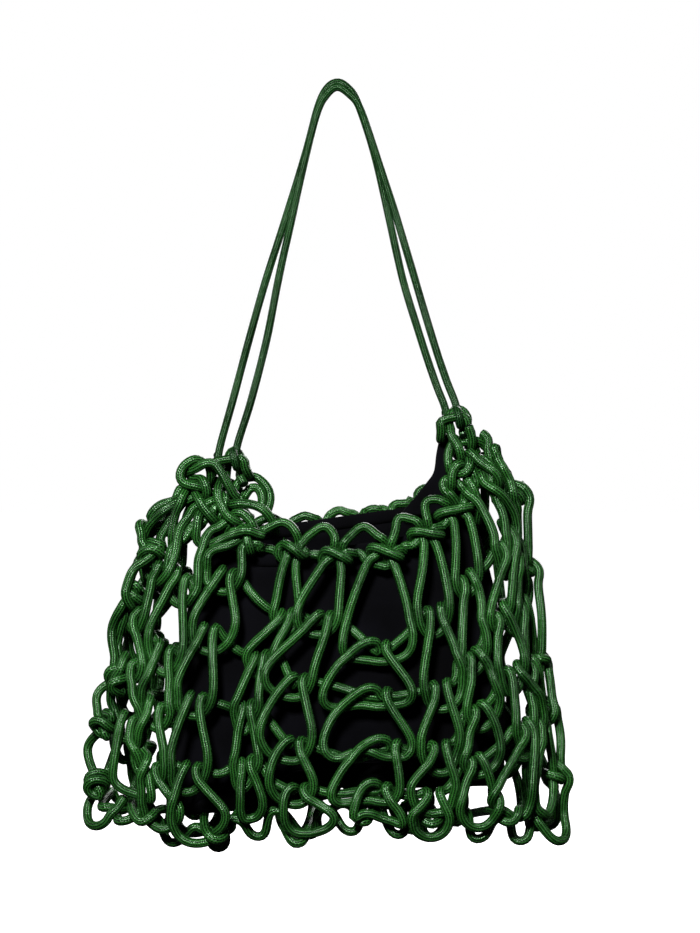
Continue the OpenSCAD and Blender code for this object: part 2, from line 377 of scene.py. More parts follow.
def add_tube(mesh, path, radius, closed=False):
    """Adds one tube to a bmesh, with U round the cord and V along it in metres."""
    uv = mesh.loops.layers.uv.verify()
    tangents, sides = carried_sides(path, closed)
    ups = np.cross(tangents, sides)
    steps = np.linalg.norm(np.roll(path, -1, 0) - path, axis=1)
    run = vary(0, 1) + np.concatenate([[0], np.cumsum(steps)])
    rings = []
    for centre, side, up, v in zip(path, sides, ups, run):
        angles = 2 * math.pi * np.arange(AROUND) / AROUND + BRAID_TWIST * v
        offsets = np.outer(np.cos(angles), side) + np.outer(np.sin(angles), up)
        rings.append([mesh.verts.new(centre + radius * o) for o in offsets])
    bands = len(rings) if closed else len(rings) - 1
    for i in range(bands):
        add_band(mesh, uv, rings[i], rings[(i + 1) % len(rings)], run[i], run[i + 1])
    if not closed:
        bulge = radius * END_BULGE
        add_end(mesh, rings[0], path[0] - tangents[0] * bulge, True)
        add_end(mesh, rings[-1], path[-1] + tangents[-1] * bulge, False)


def finish_mesh(name, mesh, material):
    data = bpy.data.meshes.new(name)
    mesh.normal_update()
    mesh.to_mesh(data)
    mesh.free()
    data.materials.append(material)
    piece = bpy.data.objects.new(name, data)
    bpy.context.scene.collection.objects.link(piece)
    return piece


def make_cord_piece(name, paths, material, radius=CORD_R):
    """paths is a list of (points, closed)."""
    mesh = bmesh.new()
    for path, closed in paths:
        add_tube(mesh, path, radius, closed)
    return finish_mesh(name, mesh, material)


def place_piece(piece, node, body):
    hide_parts(node)
    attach(piece, body)


# ------------ handle

TILT = math.radians(10.6)
AXIS = np.array([math.cos(TILT), 0, math.sin(TILT)])
AXIS_UP = np.array([-math.sin(TILT), 0, math.cos(TILT)])
CORNER_MID = np.array([2.0, 0, -268.0]) * MM
CORNER_X = 87 * MM
EYE_R = 6.5 * MM
STRAND_Y = 3.3 * MM
LEG_Y = STRAND_Y + EYE_R
FRONT_ROUTE = [(-76, -270), (-66, -238), (-54, -191), (-45, -145), (-34, -95), (-24, -50),
               (-15, -16), (-8, -3), (0, 3), (9, -2), (18, -14), (31, -52), (46, -98), (60, -145),
               (74, -192), (84, -222), (91, -240)]
BACK_ROUTE = [(-90, -272), (-80, -236), (-68, -191), (-55, -145), (-39, -95), (-24, -46),
              (-15, -12), (-8, 3), (0, 8), (8, 4), (16, -8), (29, -48), (40, -96), (51, -145),
              (65, -191), (76, -224), (83, -242)]
FRONT_EYES_X = (-78, 93)
BACK_EYES_X = (-92, 85)
EYE_TURNS = np.radians(np.arange(0, 253, 28))
STRAND_STEP = 2.2 * MM


def on_axis(x, y):
    """A point on the line through the corner loops."""
    return np.array([x, y, CORNER_MID[2] + (x - CORNER_MID[0]) * math.tan(TILT)])


def corner_middle(side):
    """Middle of a corner loop: side is -1 on the left and 1 on the right."""
    return on_axis(CORNER_MID[0] + side * CORNER_X, 0)


def eye_points(x, s):
    """Round under a corner loop's leg, starting where the strand meets it."""
    centre = on_axis(x, s * LEG_Y)
    return [centre + EYE_R * (-s * math.cos(a) * np.array([0, 1, 0]) - math.sin(a) * AXIS_UP)
            for a in EYE_TURNS]


def make_strand(name, body, route, eyes, s):
    """One strand of the handle, on side s of the middle: -1 in front, 1 behind."""
    middle = [np.array([x * MM, s * STRAND_Y, z * MM]) for x, z in route]
    points = eye_points(eyes[0] * MM, s)[::-1] + middle + eye_points(eyes[1] * MM, s)
    path = smooth_path(points, STRAND_STEP)
    piece = make_cord_piece(name + "_cord", [(path, False)], SHADED_HANDLE_CORD)
    place_piece(piece, name, body)
    route = path[::3].tolist() + [path[-1].tolist()]
    return path


front_strand = make_strand("handle_front_strand", "front_handle", FRONT_ROUTE, FRONT_EYES_X, -1)
back_strand = make_strand("handle_back_strand", "back_handle", BACK_ROUTE, BACK_EYES_X, 1)


# ------------ the net's wall as a surface

LEFT_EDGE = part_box("left_side_lacing")[0].x
RIGHT_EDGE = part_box("right_side_lacing")[1].x
KNOT_STAND = 3 * MM
NET_BASE_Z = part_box("front_net_course_5")[0].z
BASE_HALF_W = (RIGHT_EDGE - LEFT_EDGE) / 2 - KNOT_STAND
BASE_HALF_D = -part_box("front_net_course_5")[0].y
BASE_MID_X = (RIGHT_EDGE + LEFT_EDGE) / 2
TOP_HALF_W = 95 * MM
TOP_HALF_D = 30 * MM
TOP_MID_X = 2 * MM
WALL_MIDDLE = 6 * MM
RIM_Z = -280 * MM
RIM_SAG_FRONT = 63 * MM
RIM_SAG_BACK = 49 * MM
# Powers: of the height in the wall's width and depth, of the wall's corners, and of the rim's sag.
SPREAD, DEEPEN, ROUND, SAG = 0.27, 0.5, 0.7, 4
# The right side hangs straighter than the left, by this much half way down.
RIGHT_TUCK = 17 * MM
TUCK_HEIGHT = 0.7  # power of the height in the tuck
LOWEST_V, HIGHEST_V = 0.0004, 1.2
# How far the scalloped lower edge lies above its lowest, as (x, rise) in mm.
BASE_RISE = ((-190, 14), (-150, 14), (-135, 0), (-85, 0), (-65, 13), (-30, 6), (0, 8), (20, 20),
             (40, 14), (60, 6), (100, 6), (135, 4), (150, 0), (190, 0))


def rim_height(a):
    """Height of the net's rim at angle a round the bag, 0 in front."""
    sag = np.where(np.cos(a) > 0, RIM_SAG_FRONT, RIM_SAG_BACK)
    return RIM_Z + TOP_HALF_W * np.sin(a) * math.tan(TILT) - sag * (1 - np.abs(np.sin(a)) ** SAG)


def base_height(x):
    """Height of the net's lower edge at x."""
    at, rise = np.array(BASE_RISE, float).T * MM
    return NET_BASE_Z + np.interp(x, at, rise)


def wall_point(a, v, out=0.0):
    """Middle of the net's wall at angle a round the bag and share v of its height."""
    a, v = np.asarray(a, float), np.asarray(v, float)
    vc = np.clip(v, LOWEST_V, HIGHEST_V)
    inset = WALL_MIDDLE - out
    half_w = TOP_HALF_W + (BASE_HALF_W - TOP_HALF_W) * vc ** SPREAD - inset
    half_d = TOP_HALF_D + (BASE_HALF_D - TOP_HALF_D) * vc ** DEEPEN - inset
    mid_x = TOP_MID_X + (BASE_MID_X - TOP_MID_X) * vc
    c = np.cos(a)
    top = rim_height(a)
    bow = np.sin(np.pi * np.clip(vc, 0, 1) ** TUCK_HEIGHT)
    tuck = RIGHT_TUCK * np.clip(np.sin(a), 0, 1) ** 2 * bow
    x = mid_x + half_w * np.sin(a) - tuck
    return np.stack([x, -half_d * np.sign(c) * np.abs(c) ** ROUND,
                     top + v * (base_height(x) - top)], axis=-1)


ANGLES = np.radians(np.linspace(-120, 300, 1261))
LEVELS = np.linspace(0, 1, 61) ** 2.5


def ring_runs(level):
    """Distance round the bag, from the front's middle, at each of ANGLES."""
    run = run_along(wall_point(ANGLES, np.full(len(ANGLES), level))[:, :2])
    return run - np.interp(0, ANGLES, run)


RUNS = [ring_runs(level) for level in LEVELS]
QUARTERS = np.array([np.interp(math.pi / 2, ANGLES, run) for run in RUNS])


def quarter(v):
    """Distance from the front's middle to the right side, at share v of the height."""
    return float(np.interp(v, LEVELS, QUARTERS))


def turn_at(a, v):
    """Share of a quarter of the way round, from the front's middle, at angle a."""
    k = int(np.argmin(np.abs(LEVELS - v)))
    return float(np.interp(a, ANGLES, RUNS[k]) / QUARTERS[k])


def angle_at(turn, v):
    """Angle at a share of a quarter of the way round."""
    k = min(int(np.searchsorted(LEVELS, v)), len(LEVELS) - 1)
    j = max(k - 1, 0)
    here = np.interp(turn * QUARTERS[k], RUNS[k], ANGLES)
    above = np.interp(turn * QUARTERS[j], RUNS[j], ANGLES)
    span = LEVELS[k] - LEVELS[j]
    share = 1.0 if span <= 0 else min(max((v - LEVELS[j]) / span, 0), 1)
    return float(above + (here - above) * share)


SLOPE_STEP = 0.004  # in radians and in shares of the height
SLOPE_TOP_V = 0.02


def wall_place(turn, v, out, side=0.0):
    """A point near the wall: turn quarters and side metres round it, at share v of its height."""
    a = angle_at(turn + side / quarter(v), v)
    here = wall_point(a, v)
    level = max(v, SLOPE_TOP_V)
    across = wall_point(a + SLOPE_STEP, v) - wall_point(a - SLOPE_STEP, v)
    down = wall_point(a, level + SLOPE_STEP) - wall_point(a, level - SLOPE_STEP)
    normal = np.cross(down, across)
    normal /= np.linalg.norm(normal)
    return here + out * normal


# ------------ knitting

ROWS = 5
# Each front wale: how far it stands out of the wall, where each row hooks onto the one above as
# (x, z), and how far each row's loop reaches to the left and right of where it ends, all in mm.
FRONT_WALES = (
    (0, ((-104, -312), (-139, -358), (-155, -395), (-158, -436), (-157, -478), (-152, -529)),
     ((17, 13), (18, 12), (18, 14), (19, 13), (18, 15))),
    (0, ((-86, -322), (-118, -371), (-129, -425), (-137, -468), (-139, -510), (-131, -548)),
     ((12, 15), (14, 14), (12, 14), (13, 12), (15, 15))),
    (2, ((-66, -338), (-82, -368), (-95, -411), (-105, -461), (-109, -513), (-102, -552)),
     ((19, 11), (13, 20), (16, 13), (17, 13), (20, 22))),
    (-5, ((-34, -352), (-38, -397), (-58, -429), (-68, -466), (-67, -507), (-64, -540)),
     ((9, 9), (9, 10), (8, 8), (9, 9), (9, 9))),
    (2, ((0, -356), (-10, -401), (-29, -447), (-32, -493), (-29, -528), (-23, -552)),
     ((21, 11), (26, 11), (26, 14), (21, 13), (16, 22))),
    (0, ((38, -354), (31, -423), (32, -458), (38, -495), (31, -526), (32, -550)),
     ((27, 26), (42, 26), (48, 19), (36, 16), (20, 18))),
    (2, ((68, -340), (74, -397), (78, -452), (77, -496), (72, -531), (70, -552)),
     ((14, 11), (13, 19), (15, 16), (18, 17), (16, 14))),
    (1, ((90, -322), (98, -371), (101, -429), (105, -468), (103, -507), (105, -545)),
     ((9, 9), (8, 12), (8, 18), (9, 20), (15, 14))),
    (2, ((106, -303), (128, -343), (122, -397), (133, -440), (142, -484), (133, -537)),
     ((9, 9), (9, 10), (14, 9), (9, 17), (18, 14))),
    (0, ((116, -284), (136, -347), (140, -391), (147, -436), (154, -481), (157, -533)),
     ((10, 11), (9, 15), (10, 14), (9, 15), (12, 17))),
)
# How far the left and right legs of some front wales arch up before they fall.
LEG_ARCHES = {4: (0.6, 0), 5: (1, 0.1), 2: (0.2, 0), 7: (0, 0.4)}
BACK_WALES = (0.93, 0.76, 0.56, 0.36, 0.15, -0.10, -0.36, -0.60, -0.80, -0.94)
BACK_FIRST_V, BACK_LAST_V = 0.03, 0.90
# How much the back's hooks stray down, sideways and out, and how far its loops reach.
STRAY_V, STRAY_SIDE, STRAY_OUT = 0.014, 4 * MM, 1.5 * MM
BACK_REACHES = (10, 19)
# One leg of a stitch, foot to head. Each row places a point: sideways in mm and as a share of the
# leg's reach, and down as a share of the way to the next hook, each with what a full arch adds;
# then further down as a share of the head's hang, and out of the wall in mm.
LEG = (
    ((8.5, -8.5), (0, 0), (0.04, 0.10), 0, -3.7),
    ((4.8, -6.0), (0, 0), (-0.06, 0.02), 0, -0.8),
    ((4.2, 0), (0, 0.13), (0.10, -0.18), 0, 3.3),
    ((2.48, -1.04), (0.38, 0.26), (0.42, -0.22), 0, 3.5),
    ((0, 0), (0.90, 0.04), (0.76, -0.12), 0, 3.4),
    ((0, 0), (1, 0), (0.98, 0), 0, 2.2),
    ((0, 0), (0.78, 0), (1, 0), 0.60, -1.6),
    ((0, 0), (0.36, 0), (1, 0), 0.94, -3.6),
)
SHOULDER = 2  # the row of LEG that lies over the hook above
FIRST_SHOULDER_OUT = 0.8  # flatter in the first row, under the rim's knots
HEAD_OUT = -3.8 * MM
SHORTEST_FALL = 12 * MM
# The head's hang below the next hook in mm, and what a full arch and a raised edge take off it.
HANG, LAST_HANG = (16, 24), (12, 26)
ARCH_TAKES, RISE_TAKES = 0.45, 0.5
# The cord behind the wall between stitches: how far in, and how far down (mean and spread).
LINK_IN, FIRST_LINK_IN = 3.8 * MM, 6 * MM
LINK_SAG, FIRST_LINK_SAG = (0.010, 0.016), -0.010
TIE_OUT = -2 * MM

# A fine grid on the front, to find the place that a front view shows at (x, z).
FRONT_DEGREES, FRONT_LEVELS = np.linspace(-86, 86, 345), np.linspace(0.005, 1, 200)
FRONT_A, FRONT_V = np.meshgrid(np.radians(FRONT_DEGREES), FRONT_LEVELS)
FRONT_GRID = wall_point(FRONT_A, FRONT_V)


def find_on_front(x, z):
    """The place on the front whose front view is nearest (x, z), as (turn, v)."""
    off = (FRONT_GRID[..., 0] - x) ** 2 + (FRONT_GRID[..., 2] - z) ** 2
    k = np.unravel_index(np.argmin(off), off.shape)
    a, v = float(FRONT_A[k]), float(FRONT_V[k])
    return turn_at(a, v), v


def front_wales():
    """Locks (turn, v, out) and reaches of every front wale, left to right."""
    wales = []
    for out, hooks, reaches in FRONT_WALES:
        locks = [find_on_front(x * MM, z * MM) + (out * MM,) for x, z in hooks]
        wales.append((locks, [(left * MM, right * MM) for left, right in reaches]))
    return wales


def back_wales():
    """The back, which the front view hides: the same knitting with its own small variations."""
    wales = []
    for share in BACK_WALES:
        a = math.pi - math.asin(share)
        locks = []
        for r in range(ROWS + 1):
            free = min(r, 1)
            v = BACK_FIRST_V + (BACK_LAST_V - BACK_FIRST_V) * r / ROWS
            v += stray(0, STRAY_V) * free
            turn = turn_at(a, v) + stray(0, STRAY_SIDE) * free / quarter(v)
            locks.append((turn, v, stray(0, STRAY_OUT)))
        reaches = [tuple(float(w) * MM for w in rng.uniform(*BACK_REACHES, 2)) for _ in range(ROWS)]
        wales.append((locks, reaches))
    return wales


def stitch(top, low, reach, hang, first, arches):
    """Points of one stitch: foot, left leg, hanging head, right leg, foot."""
    (turn0, v0, out0), (turn1, v1, out1) = top, low
    fall = max(abs(wall_place(*top)[2] - wall_place(*low)[2]), SHORTEST_FALL)
    h = hang / fall

    def at(side, b, out):
        share = min(max(b, 0), 1)
        share = share * share * (3 - 2 * share)
        return wall_place(turn0 + (turn1 - turn0) * share, v0 + (v1 - v0) * b,
                          out + out0 + (out1 - out0) * share, side)

    legs = []
    for s, half, k in ((-1, reach[0], arches[0]), (1, reach[1], arches[1])):
        leg = []
        for row, (aside, share, down, of_hang, out) in enumerate(LEG):
            side = (aside[0] + aside[1] * k) * MM + (share[0] + share[1] * k) * half
            if first and row == SHOULDER:
                out = FIRST_SHOULDER_OUT
            leg.append(at(s * side, down[0] + down[1] * k + of_hang * h, out * MM))
        legs.append(leg)
    return legs[0] + [at(0, 1 + h, HEAD_OUT)] + legs[1][::-1]


def tied_end(turn, v):
    """Where a row's end at height v is tied in: at the nearest knot of its side edge."""
    knots = RIGHT_KNOTS if turn in (FRONT_ENDS[1], BACK_ENDS[0]) else LEFT_KNOTS
    return wall_place(turn, min(knots, key=lambda knot: abs(knot - v)), TIE_OUT)


def link(here, there, first):
    """Middle of the cord behind the wall from one hook to the next."""
    sag = FIRST_LINK_SAG if first else stray(*LINK_SAG)
    turn, v, out = ((a + b) / 2 for a, b in zip(here, there))
    return wall_place(turn, v + sag, out - (FIRST_LINK_IN if first else LINK_IN))


def course(wales, r, ends, front):
    """Points of one row across a panel."""
    last_row = r == ROWS - 1
    points = [tied_end(ends[0], wales[0][0][r][1])]
    for c, (locks, reaches) in enumerate(wales):
        hang = vary(*(LAST_HANG if last_row else HANG)) * MM
        arches = LEG_ARCHES.get(c, (0, 0)) if front else (0, 0)
        rise = float(base_height(wall_place(*locks[r + 1])[0])) - NET_BASE_Z
        hang = hang * (1 - ARCH_TAKES * max(arches)) - (RISE_TAKES * rise if last_row else 0)
        points += stitch(locks[r], locks[r + 1], reaches[r], hang, r == 0, arches)
        if c < len(wales) - 1:
            points.append(link(locks[r], wales[c + 1][0][r], r == 0))
    points.append(tied_end(ends[1], wales[-1][0][r][1]))
    return points


# One knot of the rim, across, down and out in mm: the cord comes down behind, round to the upper
# left, across the front as a slanted bar, and back up from behind the bar.
RIM_KNOT = ((1, -8, 1), (3, -2, -5), (-3, 4, -7), (-10, 2, -5), (-11, -6, 1), (-6, -4, 6.4),
            (0, 0, 7.8), (6, 4, 6.4), (10, 6, 0), (7, 1, -5), (2, -5, 0), (5, -10, 3))
# Where no knot is drawn up, the cord only passes behind the stitch's top.
RIM_PASS = ((-5, -1, -2), (5, -1, -3))
# The arc on to the next knot: share of the way, and height above the line between, in mm.
RIM_ARC = ((0.36, 16), (0.60, 22), (0.82, 19))
RIM_KNOTTED = range(2, 8)
# The arc has that height over this gap, goes no higher than so many times it, and varies a little.
RIM_GAP, RIM_HIGHEST, RIM_VARIES = 30 * MM, 1.2, (0.75, 1.1)
RIM_OUT = 1 * MM
RIM_END_UP = 8 * MM
FRONT_ARCS, BACK_ARCS = 1.0, 0.72


def rim(wales, ends, rise):
    """Cast-on edge: a knot over each stitch in RIM_KNOTTED, a pass behind the others, and a round arc on
    to the next.
    """
    height = abs(NET_BASE_Z - RIM_Z)
    points = []
    for c, (locks, _) in enumerate(wales):
        turn, v, _ = locks[0]
        knot = RIM_KNOT if c in RIM_KNOTTED else RIM_PASS
        points += [wall_place(turn, v + d * MM / height, o * MM, x * MM) for x, d, o in knot]
        if c < len(wales) - 1:
            there = wales[c + 1][0][0]
            gap = abs(there[0] - turn) * quarter(v)
            size = min(gap / RIM_GAP, RIM_HIGHEST) * rise * vary(*RIM_VARIES)
            for share, lift in RIM_ARC:
                down = v + (there[1] - v) * share - lift * size * MM / height
                points.append(wall_place(turn + (there[0] - turn) * share, down, RIM_OUT))
    last = wales[-1][0][0]
    points.append(wall_place(ends[1], last[1] - RIM_END_UP / height, 0))
    return points


# The arch from each corner to the side edge, in mm from the corner's middle.
LEFT_ARCH = ((-20, 4, -26), (-30, 0, -28), (-38, -4, -31), (-50, -6, -33), (-58, -5, -42),
             (-56, -1, -51), (-49, 3, -50), (-46, 5, -56))
RIGHT_ARCH = ((10, 2, -26), (17, -3, -28), (30, -5, -34), (41, -4, -43), (43, -1, -53), (36, 3, -60),
              (34, 6, -66))
# The side knots, as shares of the height, and their size.
LEFT_KNOTS = (0.17, 0.31, 0.54, 0.67, 0.84)
RIGHT_KNOTS = (0.15, 0.33, 0.54, 0.66, 0.81)
KNOT_R, KNOT_RISE, KNOT_OUT = 7.2 * MM, 11 * MM, 2 * MM
KNOT_POINTS, KNOT_POINTS_A_TURN, KNOT_START = 14, 7, 0.9
KNOT_AXIS_FLAT, KNOT_AXIS_UP = 0.8, 0.6
# Between the knots the cord bows out by this range, and each knot strays sideways by this spread.
LACING_BOW, LACING_STRAY = (8, 13), 4
ARCH_V = 0.10
# The loop a side lacing ends in: share of the height, and out and towards the front in mm.
LACING_END = ((0.90, 5, 0), (0.935, 5, 4), (0.955, 3, 14), (0.95, 0, 25), (0.91, -4, 32), (0.86, -8, 34))


def edge_knot(centre, spin):
    """Nearly two turns of cord about a slanted axis."""
    axis = np.array([math.cos(spin) * KNOT_AXIS_FLAT, math.sin(spin) * KNOT_AXIS_FLAT, KNOT_AXIS_UP])
    axis /= np.linalg.norm(axis)
    across = np.cross(axis, [0, 0, 1.0])
    across /= np.linalg.norm(across)
    other = np.cross(axis, across)
    points = []
    for k in range(KNOT_POINTS):
        turn = KNOT_START + k * 2 * math.pi / KNOT_POINTS_A_TURN
        points.append(centre + KNOT_R * (math.cos(turn) * across + math.sin(turn) * other)
                      + axis * (k / (KNOT_POINTS - 1) - 0.5) * KNOT_RISE)
    return points


def side_lacing(side, knots):
    """Down a side edge: an arch out from the corner, then a knot at each row and arcs between."""
    corner = corner_middle(side)
    start = LEFT_ARCH if side < 0 else RIGHT_ARCH
    points = [corner + np.array(p) * MM for p in start]
    before = ARCH_V
    for v in knots:
        bow = vary(*LACING_BOW) * MM
        aside = stray(0, LACING_STRAY) * MM
        points.append(wall_place(side, (before + v) / 2, bow, aside))
        points += edge_knot(wall_place(side, v, KNOT_OUT, -aside), vary(0, math.pi))
        before = v
    for v, out, back in LACING_END:
        points.append(wall_place(side, v, out * MM, -side * back * MM))
    return points


# Where each panel's rows start and end, in quarters of the way round.
FRONT_ENDS = (-0.98, 0.98)
BACK_ENDS = (1.02, 2.98)
panels = {"front": (front_wales(), FRONT_ENDS), "back": (back_wales(), BACK_ENDS)}

# Each cord piece's lengths of cord, as (points, closed).
cords = {}
for panel, (wales, ends) in panels.items():
    in_front = panel == "front"
    cords[panel + "_net_rim"] = [(rim(wales, ends, FRONT_ARCS if in_front else BACK_ARCS), False)]
    for r in range(ROWS):
        cords[f"{panel}_net_course_{r + 1}"] = [(course(wales, r, ends, in_front), False)]
cords["left_side_lacing"] = [(side_lacing(-1, LEFT_KNOTS), False)]
cords["right_side_lacing"] = [(side_lacing(1, RIGHT_KNOTS), False)]


# ------------ corners and base

LEFT_LEG, RIGHT_LEG = 11 * MM, 8 * MM
LOOP_DIP, LOOP_BULGE = 14 * MM, 4 * MM


def corner_loop(side):
    """Two level legs for the handle's eyes to turn on, joined by ends that hang below them."""
    centre = corner_middle(side)
    leg = LEFT_LEG if side < 0 else RIGHT_LEG
    turns = np.radians(np.arange(-90, 91, 30))
    half = [(leg + LOOP_BULGE * math.cos(a), LEG_Y * math.sin(a), -LOOP_DIP * math.cos(a))
            for a in turns]
    other = [(-x, -y, z) for x, y, z in half]
    return [centre + x * AXIS + np.array([0, y, 0]) + z * AXIS_UP for x, y, z in half + other]


# Strands of each corner's lashing, in mm from the corner's middle.
LEFT_LASHING = (
    ((7, -14, -30), (3, -16, -19), (-3, -17, -9), (-8, -18, -1), (-14, -18, -1), (-21, -15, -4),
     (-28, -10, -8), (-32, -4, -12)),
    ((-15, -6, -3), (-19, -11, 1), (-26, -14, 0), (-33, -15, -5), (-35, -15, -13), (-29, -15, -20),
     (-20, -15, -21), (-14, -11, -18)),
    ((-13, -12, -35), (-13, -17, -25), (-17, -16, -17), (-24, -9, -15), (-29, -2, -15)),
    ((-3, -4, -14), (-5, -13, -20), (-5, -18, -30), (0, -22, -41), (7, -22, -48), (11, -14, -51)),
    ((-22, -8, -20), (-21, -16, -28), (-16, -20, -36), (-10, -21, -43), (-6, -14, -47)),
    ((6, 6, -22), (11, 8, -12), (16, 8, -9), (24, 7, -13), (32, 6, -21), (34, 4, -31), (30, 2, -40)),
    ((14, 2, -27), (18, 1, -20), (24, 0, -20), (28, 0, -28), (27, -2, -37)),
    ((-1, 1, -13), (0.5, 2, -3), (1.5, 3.5, 5), (5, 4.5, 9), (9, 4, 7), (12, 3, 0), (13, -2, -9),
     (14, -8, -18)),
    ((0, -12, -32), (6, -18, -33), (13, -20, -32), (25, -21, -34), (33, -20, -40), (37, -16, -48),
     (38, -8, -55)),
    ((-26, -4, -19), (-30, -13, -25), (-37, -16, -36), (-40, -16, -48), (-41, -15, -62), (-40, -8, -72)),
    ((-23, 2, -26), (-27, 0, -36), (-31, 0, -46), (-35, 2, -55)),
    ((-14, -10, -34), (-19, -20, -41), (-24, -22, -53), (-20, -24, -63), (-9, -25, -62), (3, -27, -60),
     (12, -28, -55), (24, -30, -55), (31, -28, -56)),
    ((-11, 8, -30), (-17, 12, -24), (-12, 15, -17), (-2, 16, -15), (8, 15, -20), (12, 12, -30)),
)
RIGHT_LASHING = (
    ((10, -10, -36), (8, -16, -30), (4, -17, -22), (-1, -14, -15), (-3.3, -8, -8), (-3.3, -3.2, -1),
     (-1.5, -0.5, 5), (2.5, 3.5, 8), (8, 4, 7), (12, 2, 1), (13, -4, -6), (12, -8, -14)),
    ((10.5, -13, -7), (13, -15, -11), (15, -13, -16), (14, -8, -22)),
    ((8, -2, -18), (16, -4, -15), (24, -4, -18), (29, -3, -25), (29, -1, -33), (24, 2, -38)),
    ((11, 2, -20), (17, 0, -21), (19, -4, -26), (15, -7, -31)),
    ((10, -12, -29), (17, -17, -33), (27, -19, -41), (31, -18, -49), (32, -12, -59)),
    ((14, -8, -30), (20, -12, -34), (31, -12, -42), (38, -10, -52), (38, -4, -62)),
    ((3, 3, -14), (-1, 0, -20), (-4, -4, -27), (-4, -8, -33), (-1, -8, -41)),
    ((-3, -12, -60), (-3, -20, -50), (-2, -22, -42), (1, -22, -36), (6, -20, -34), (10, -14, -37)),
    ((1, -12, -42), (5, -18, -44), (10, -19, -42), (15, -18, -37), (16, -15, -31), (14, -8, -27)),
    ((11, -12, -38), (12, -18, -45), (15, -21, -57), (18, -22, -70), (18, -14, -79)),
    ((6, 8, -30), (0, 12, -24), (3, 15, -17), (11, 15, -16), (18, 12, -22), (20, 8, -32)),
)


def corner_lashing(side):
    """The wrapped and knotted strands under a corner loop."""
    centre = corner_middle(side)
    strands = LEFT_LASHING if side < 0 else RIGHT_LASHING
    return [([centre + np.array(p) * MM for p in strand], False) for strand in strands]


# The base lacing's turns: how many, over what share of the width, how far inside the edge, how
# high over it, and how far along they stray. The last two are in mm.
TURNS, TURNS_SPAN, TURNS_INSIDE = 13, 0.86, 9 * MM
TURNS_RISE, TURNS_STRAY = (13, 30), 4
# A turn's three points: along, the share of the way out to the side, and up.
TURN_POINTS = ((-9 * MM, 0.70, 6 * MM), (0, 1, -3 * MM), (9 * MM, 0.70, 5 * MM))
# The same for the waves back along the front, with two heights and their spread.
WAVES, WAVES_SPAN, WAVES_INSIDE = 21, 0.88, 20 * MM
WAVE_LOW, WAVE_HIGH, WAVE_SPREAD, WAVES_STRAY = 14, 31, 3, 3
WAVE_HALF, WAVE_DEPTHS = 5 * MM, (0.55, 1.0)


def base_place(share, spread, inside):
    """Place along the base and the room from its middle to its edge there."""
    x = BASE_MID_X + share * BASE_HALF_W + stray(0, spread) * MM
    return x, (BASE_HALF_D - inside) * (1 - abs(share) ** 3) ** 0.5


def base_lacing():
    """Back and forth under the bag, then back along the front, through the lowest loops."""
    points = []
    for k in range(TURNS):
        x, reach = base_place(TURNS_SPAN * (2 * k / (TURNS - 1) - 1), TURNS_STRAY, TURNS_INSIDE)
        side = -1 if k % 2 else 1
        z = float(base_height(x)) + vary(*TURNS_RISE) * MM
        points += [np.array([x + along, side * reach * out, z + up]) for along, out, up in TURN_POINTS]
    for k in range(WAVES):
        x, reach = base_place(WAVES_SPAN * (1 - 2 * k / (WAVES - 1)), WAVES_STRAY, WAVES_INSIDE)
        y = -reach * vary(*WAVE_DEPTHS)
        level = (WAVE_LOW if k % 2 else WAVE_HIGH) + stray(0, WAVE_SPREAD)
        z = float(base_height(x)) + level * MM
        points += [np.array([x + WAVE_HALF, y, z]), np.array([x - WAVE_HALF, y, z])]
    return points


for name, side in (("left", -1), ("right", 1)):
    cords[name + "_corner_loop"] = [(corner_loop(side), True)]
    cords[name + "_corner_lashing"] = corner_lashing(side)
cords["base_lacing"] = [(base_lacing(), True)]


# ------------ settling the cords

SETTLE_STEP, DRAWN_STEP = 3.6 * MM, 2.4 * MM
SETTLE_ROUNDS, QUICK_ROUNDS = 70, 12
SEARCH_EVERY = 6  # rounds
APART, NEAR = 2.0 * NET_CORD_R, 3.3 * NET_CORD_R
SAME_STRETCH = 5  # points of one cord nearer than this along it don't push each other
PUSH, SMOOTH, RETURN = 1.1, 0.10, 0.03  # shares of each correction made in a round
LENGTH_ROUNDS, LENGTH_PULL = 3, 1.2
TINY = 1e-6


def chain_links(paths, spans):
    """Index pairs of neighbouring points along every cord."""
    a, b = [], []
    for (p, closed, _), first in zip(paths, spans):
        last = first + len(p) - 1
        a += list(range(first, last))
        b += list(range(first + 1, last + 1))
        if closed:
            a.append(last)
            b.append(first)
    return np.array(a), np.array(b)


def close_pairs(x, fixed, owner, number):
    """Index pairs of points that may soon touch; an index past len(x) is a fixed point."""
    everything = np.vstack([x, fixed])
    tree = kdtree.KDTree(len(everything))
    for i, p in enumerate(everything):
        tree.insert(p, i)
    tree.balance()
    first, second = [], []
    for i in range(len(x)):
        for _, j, _ in tree.find_range(x[i], NEAR):
            same_cord = j < len(x) and owner[i] == owner[j]
            if j > i and not (same_cord and abs(number[i] - number[j]) < SAME_STRETCH):
                first.append(i)
                second.append(j)
    return np.array(first), np.array(second)


def pushed_apart(x, fixed, pairs, free):
    """Moves points that overlap away from each other."""
    first, second = pairs
    gap = np.vstack([x, fixed])[second] - x[first]
    d = np.linalg.norm(gap, axis=1)
    push = np.clip(APART - d, 0, None) / np.maximum(d, TINY)
    shift = gap * (0.5 * push)[:, None]
    move = np.zeros_like(x)
    weight = np.zeros(len(x))
    active = push > 0
    np.add.at(move, first[active], -shift[active])
    np.add.at(weight, first[active], 1)
    other = active & (second < len(x))
    np.add.at(move, second[other], shift[other])
    np.add.at(weight, second[other], 1)
    return x + (move / np.maximum(weight, 1)[:, None] * PUSH) * free


def smoothed(x, a, b, inner):
    """Draws each inner point a little towards the middle of its neighbours."""
    both = np.zeros_like(x)
    np.add.at(both, a, x[b])
    np.add.at(both, b, x[a])
    return x + SMOOTH * (both / 2 - x) * inner[:, None]


